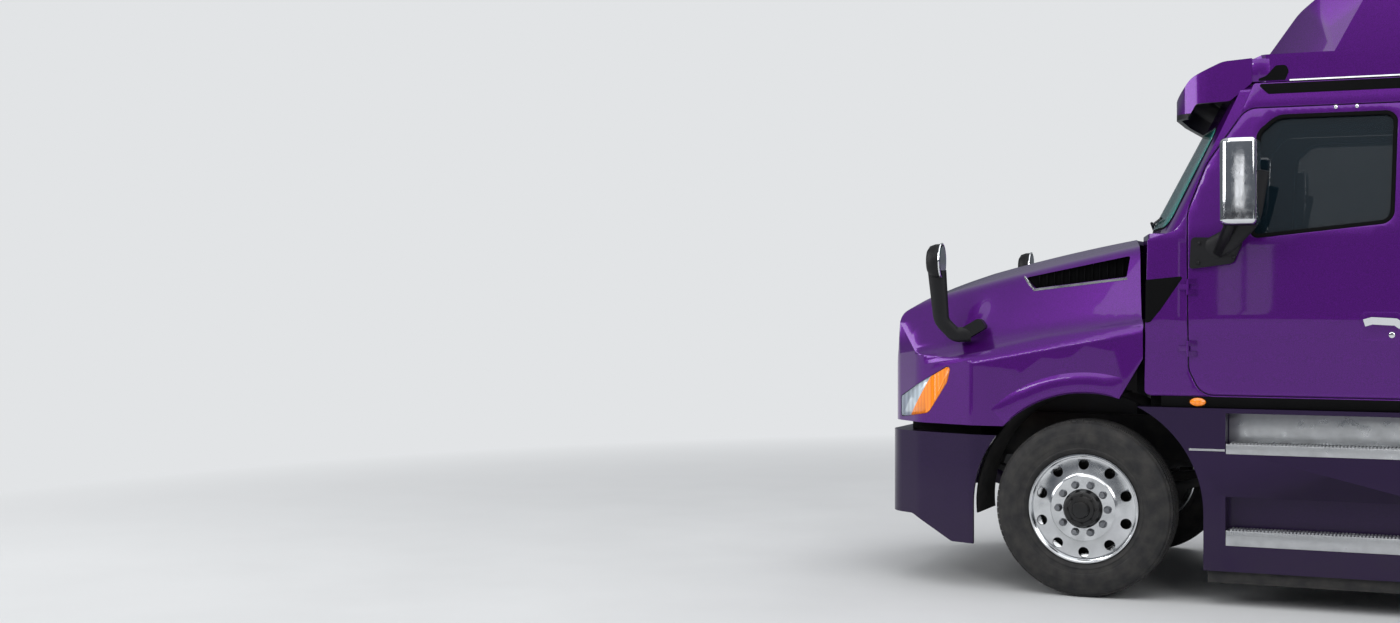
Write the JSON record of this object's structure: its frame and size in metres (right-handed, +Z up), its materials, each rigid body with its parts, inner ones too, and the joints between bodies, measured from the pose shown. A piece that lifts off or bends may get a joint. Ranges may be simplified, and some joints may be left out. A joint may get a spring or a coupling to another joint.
{
  "type": "semi truck tractor unit",
  "caption": "Conventional road tractor with a raised-roof sleeper, tilting hood, steered front wheels, tandem drive axles with twin wheels and a coupling plate for a trailer.",
  "frame": {"origin": "on the ground under the middle of the truck's length and width", "axes": "-Y towards the front of the truck, +X to the driver's left side, +Z up"},
  "size_m": [3, 8.362, 3.9562],
  "materials": {
    "body_paint": "glossy metallic purple",
    "lower_paint": "glossy dark purple",
    "chassis_black": "satin black chassis paint",
    "engine_grey": "painted casting",
    "radiator_aluminium": "brazed core",
    "polished_aluminium": "polished",
    "tread_aluminium": "serrated tread",
    "cast_plate": "greased casting",
    "cast_steel": "cast",
    "black_rubber": "matte",
    "tyre_rubber": "matte",
    "wheel_aluminium": "machined",
    "chrome": "polished",
    "red_lens": "lens",
    "lamp_lens": "clear lens",
    "glass": "lightly tinted",
    "amber_lens": "moulded amber lens",
    "mirror_glass": "silvered mirror",
    "dark_glass": "dark tint",
    "interior_plastic": "grained",
    "seat_fabric": "woven",
    "black_plastic": "moulded"
  },
  "bodies": {
    "tractor": {"frame": "chassis_black", "front_axle": "chassis_black", "front_springs": "chassis_black", "drive_axles": "chassis_black", "rear_suspension": "chassis_black", "engine": "engine_grey", "radiator": "radiator_aluminium", "fuel_tanks": "polished_aluminium", "bumper": "body_paint", "fifth_wheel_base": "chassis_black", "mud_flaps": "black_rubber", "tail_lights": "red_lens", "deck_plate": "tread_aluminium", "cab": "body_paint", "sleeper": "body_paint", "roof": "body_paint", "sun_visor": "body_paint", "windshield": "glass", "sleeper_windows": "dark_glass", "dashboard": "interior_plastic", "seats": "seat_fabric", "bunk": "seat_fabric", "steering_wheel": "interior_plastic", "side_extenders": "black_plastic", "step_treads": "tread_aluminium", "fairing_left": "lower_paint", "fairing_right": "lower_paint"},
    "knuckle_left": {"knuckle_left": "cast_steel"},
    "door_left": {"door_left": "body_paint", "door_glass_left": "glass", "mirror_left": "black_plastic"},
    "wheel_front_left": {"wheel_front_left": "wheel_aluminium", "tyre_front_left": "tyre_rubber"},
    "wheel_drive_fore_left": {"wheel_drive_fore_left": "wheel_aluminium", "tyre_drive_fore_left": "tyre_rubber"},
    "wheel_drive_aft_left": {"wheel_drive_aft_left": "wheel_aluminium", "tyre_drive_aft_left": "tyre_rubber"},
    "knuckle_right": {"knuckle_right": "cast_steel"},
    "door_right": {"door_right": "body_paint", "door_glass_right": "glass", "mirror_right": "black_plastic"},
    "wheel_front_right": {"wheel_front_right": "wheel_aluminium", "tyre_front_right": "tyre_rubber"},
    "wheel_drive_fore_right": {"wheel_drive_fore_right": "wheel_aluminium", "tyre_drive_fore_right": "tyre_rubber"},
    "wheel_drive_aft_right": {"wheel_drive_aft_right": "wheel_aluminium", "tyre_drive_aft_right": "tyre_rubber"},
    "hood": {"hood": "body_paint", "grille": "chrome", "headlights": "lamp_lens", "hood_mirrors": "black_plastic", "wheel_liners": "black_plastic"},
    "fifth_wheel": {"fifth_wheel": "cast_plate"}
  },
  "joints": [
    {"name": "steer_left", "type": "hinge", "parent": "tractor", "child": "knuckle_left", "pos_m": [0.885, -2.919, 0.515], "axis": [0, 0, 1], "range_deg": [-40, 40]},
    {"name": "roll_front_left", "type": "hinge", "parent": "knuckle_left", "child": "wheel_front_left", "pos_m": [1.0685, -2.919, 0.515], "axis": [1, 0, 0], "continuous": true},
    {"name": "roll_drive_fore_left", "type": "hinge", "parent": "tractor", "child": "wheel_drive_fore_left", "pos_m": [1.078, 2.2625, 0.515], "axis": [1, 0, 0], "continuous": true},
    {"name": "roll_drive_aft_left", "type": "hinge", "parent": "tractor", "child": "wheel_drive_aft_left", "pos_m": [1.078, 3.5835, 0.515], "axis": [1, 0, 0], "continuous": true},
    {"name": "door_left", "type": "hinge", "parent": "tractor", "child": "door_left", "pos_m": [1.182, -2.329, 1.6], "axis": [0, 0, -1], "range_deg": [0, 70]},
    {"name": "steer_right", "type": "hinge", "parent": "tractor", "child": "knuckle_right", "pos_m": [-0.885, -2.919, 0.515], "axis": [0, 0, 1], "range_deg": [-40, 40]},
    {"name": "roll_front_right", "type": "hinge", "parent": "knuckle_right", "child": "wheel_front_right", "pos_m": [-1.0685, -2.919, 0.515], "axis": [1, 0, 0], "continuous": true},
    {"name": "roll_drive_fore_right", "type": "hinge", "parent": "tractor", "child": "wheel_drive_fore_right", "pos_m": [-1.078, 2.2625, 0.515], "axis": [1, 0, 0], "continuous": true},
    {"name": "roll_drive_aft_right", "type": "hinge", "parent": "tractor", "child": "wheel_drive_aft_right", "pos_m": [-1.078, 3.5835, 0.515], "axis": [1, 0, 0], "continuous": true},
    {"name": "door_right", "type": "hinge", "parent": "tractor", "child": "door_right", "pos_m": [-1.182, -2.329, 1.6], "axis": [0, 0, 1], "range_deg": [0, 70]},
    {"name": "hood_tilt", "type": "hinge", "parent": "tractor", "child": "hood", "pos_m": [0, -4.157, 0.952], "axis": [1, 0, 0], "range_deg": [0, 65]},
    {"name": "fifth_wheel_rock", "type": "hinge", "parent": "tractor", "child": "fifth_wheel", "pos_m": [0, 2.623, 1.085], "axis": [1, 0, 0], "range_deg": [-11, 11]}
  ],
  "couplings": [
    {"joint": "steer_right", "follows": "steer_left", "ratio": 1}
  ]
}
